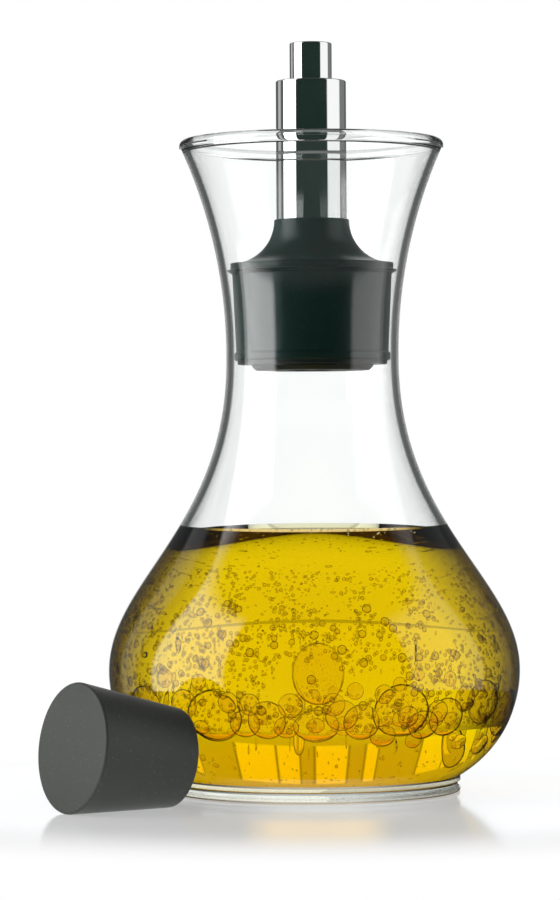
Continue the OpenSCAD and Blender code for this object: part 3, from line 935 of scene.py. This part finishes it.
# The table is lit a little more than the room lights it, and mirrored rays see a painted pool of light under
# the foot
lift = ranged(add, through_glass, 0.0, 1.0, seen_lift, glass_lift)
bounced = calc(add, "MULTIPLY", rays["Is Diffuse Ray"], bounce_lift)
lift = calc(add, "MULTIPLY_ADD", lift, direct, bounced)
spot = add("ShaderNodeSeparateXYZ", {0: place}).outputs
under = ranged(add, calc(add, "ABSOLUTE", spot["X"]), *under_fade, under_foot_painted_light, 0.0)
under = calc(add, "MULTIPLY", under, calc(add, "LESS_THAN", away, under_r))
under = calc(add, "MULTIPLY", under, mirrored)
for strength in (lift, under):
    light = add("ShaderNodeEmission", {"Strength": strength}).outputs[0]
    table = add("ShaderNodeAddShader", {0: table, 1: light}).outputs[0]

# Further out it goes over into the background's white, with a dimmer seam where glass shows it
behind = calc(add, "MAXIMUM", spot["Y"], 0.0)
reach = calc(add, "MULTIPLY_ADD", behind, back_stretch, away)
far = ranged(add, reach, *white_fade, kind="SMOOTHSTEP")
plain = calc(add, "MULTIPLY", far, direct)
seam = calc(add, "MULTIPLY", calc(add, "GREATER_THAN", away, seam_r), through_glass)
bright = ranged(add, seam, 0.0, 1.0, 1.0, seam_light)
bright = calc(add, "MULTIPLY_ADD", through_glass, glass_glow, bright)
light = add("ShaderNodeEmission", {"Strength": bright}).outputs[0]
whole = add("ShaderNodeMixShader", {0: plain, 1: table, 2: light}).outputs[0]
link(floor_finish, whole, floor_finish.node_tree.nodes["Material Output"].inputs["Surface"])
floor.data.materials.append(floor_finish)

# The room by bearing, in degrees from straight in front and negative to the left, as shares of
# the soft boxes' brightness. Elevations are in degrees too.
box_light = 3.2
dark = (0.0039, 0.0085, 0.0069)
shade = (0.03, 0.032, 0.031)
dim = (0.06, 0.062, 0.061)
pale = (0.15, 0.152, 0.151)
white = (0.3125, 0.3125, 0.3125)
box = (1, 1, 1)
right_box = (0.32, 0.32, 0.32)
room_bands = [(-180, white), (-172, white), (-166, shade), (-139, shade), (-135, pale), (-121, pale),
              (-116, shade), (-104, shade), (-101, box), (-54, box), (-51, dark), (53, dark),
              (56, right_box), (106, right_box), (109, dim), (140, dim), (146, shade), (166, shade),
              (172, white), (180, white)]

ceiling = (0.012, 0.013, 0.0125, 1)
ceiling_from = (42, 50)
zenith = (0.02, 0.02, 0.02, 1)
zenith_from = (62, 72)
level_from = (-14, -10)

# The white that shows through the glass, and its lighter windows, which the vinegar shows as
# upright rectangles: bearing in degrees and brightness, over and over round the room.
backdrop_gain = 1.14
backdrop = tuple(backdrop_gain * c for c in white)
below_share = 0.8
wall_share = 0.76
wall_from = (10.5, 12)
pane_low = (13.5, 14)
pane_high = (23.5, 23)
overhead_from = (40, 60)
pane_turn = 36
panes = [(-18, 0.72), (-11.3, 0.72), (-11.0, 0.35), (-10.7, 1.16), (-8.8, 1.16), (-8.5, 0.35), (-8.1, 0.72),
         (-5.8, 0.72), (-5.4, 0.35), (-5.1, 1.16), (0.2, 1.16), (0.5, 0.35), (1.0, 0.72), (2.8, 0.72),
         (3.1, 0.35), (3.4, 1.16), (6.9, 1.16), (7.3, 0.35), (7.7, 1.16), (14.9, 1.16), (15.3, 0.35),
         (15.8, 0.72), (18, 0.72)]

world = bpy.data.worlds.new("studio")
bpy.context.scene.world = world
world.use_nodes = True
world.node_tree.nodes.clear()
add = node_adder(world.node_tree)


def by_elevation(span):
    """A share that goes from 0 to 1 between two elevations, in degrees."""
    start, end = (sin(radians(angle)) for angle in span)
    return ranged(add, look["Z"], start, end, kind="SMOOTHSTEP")


look = add("ShaderNodeSeparateXYZ", {0: add("ShaderNodeTexCoord").outputs["Generated"]}).outputs
bearing = calc(add, "ARCTAN2", look["X"], calc(add, "MULTIPLY", look["Y"], -1.0))
rays = add("ShaderNodeLightPath").outputs
room = colour_ramp(add, ranged(add, bearing, -pi, pi),
                   [((angle + 180) / 360, colour) for angle, colour in room_bands])
room = mixed(add, by_elevation(ceiling_from), room, ceiling)
room = mixed(add, by_elevation(zenith_from), room, zenith)
room = mixed(add, by_elevation(level_from), (*dim, 1), room)

back_bearing = calc(add, "ARCTAN2", look["X"], look["Y"])
turns = calc(add, "MULTIPLY_ADD", back_bearing, 1 / radians(pane_turn), 0.5)
window = colour_ramp(add, calc(add, "FRACT", turns),
                     [(angle / pane_turn + 0.5, [level * c for c in backdrop]) for angle, level in panes])
through = mixed(add, by_elevation(level_from), (*[below_share * c for c in backdrop], 1), (*backdrop, 1))
through = mixed(add, by_elevation(wall_from), through, (*[wall_share * c for c in backdrop], 1))
window_share = calc(add, "MULTIPLY", by_elevation(pane_low), by_elevation(pane_high))
through = mixed(add, window_share, through, window)
through = mixed(add, by_elevation(overhead_from), through, (*pale, 1))

mirrored = calc(add, "ADD", rays["Glossy Depth"], rays["Diffuse Depth"])
room = mixed(add, calc(add, "GREATER_THAN", mirrored, 0.5), through, room)
seen = add("ShaderNodeBackground", {"Color": clear, "Strength": 1.0})
lit = add("ShaderNodeBackground", {"Color": room, "Strength": box_light})
both = add("ShaderNodeMixShader", {0: rays["Is Camera Ray"], 1: lit.outputs[0], 2: seen.outputs[0]})
add("ShaderNodeOutputWorld", {"Surface": both.outputs[0]})


# Camera
# Level with the belly's upper half, square to the object, a little left of its axis.

image_w, image_h = 560, 900
eye_z = 0.0773
distance = 0.820
pixels_per_m = 4400.0
axis_x_px = 313.0
camera_roll = radians(0.35)
focal_px = pixels_per_m * distance
camera_data = bpy.data.cameras.new("camera")
camera_data.sensor_width = 36.0
camera_data.lens = focal_px / image_h * camera_data.sensor_width
camera_data.clip_start = 0.05
camera_data.clip_end = 20.0
camera = bpy.data.objects.new("camera", camera_data)
camera.location = ((image_w / 2 - axis_x_px) / pixels_per_m, -distance, eye_z)
camera.rotation_euler = (pi / 2, camera_roll, 0)
bpy.context.collection.objects.link(camera)

scene = bpy.context.scene
scene.camera = camera
scene.view_settings.view_transform = "Standard"
scene.cycles.max_bounces = 24
scene.cycles.transmission_bounces = 24
scene.cycles.glossy_bounces = 8
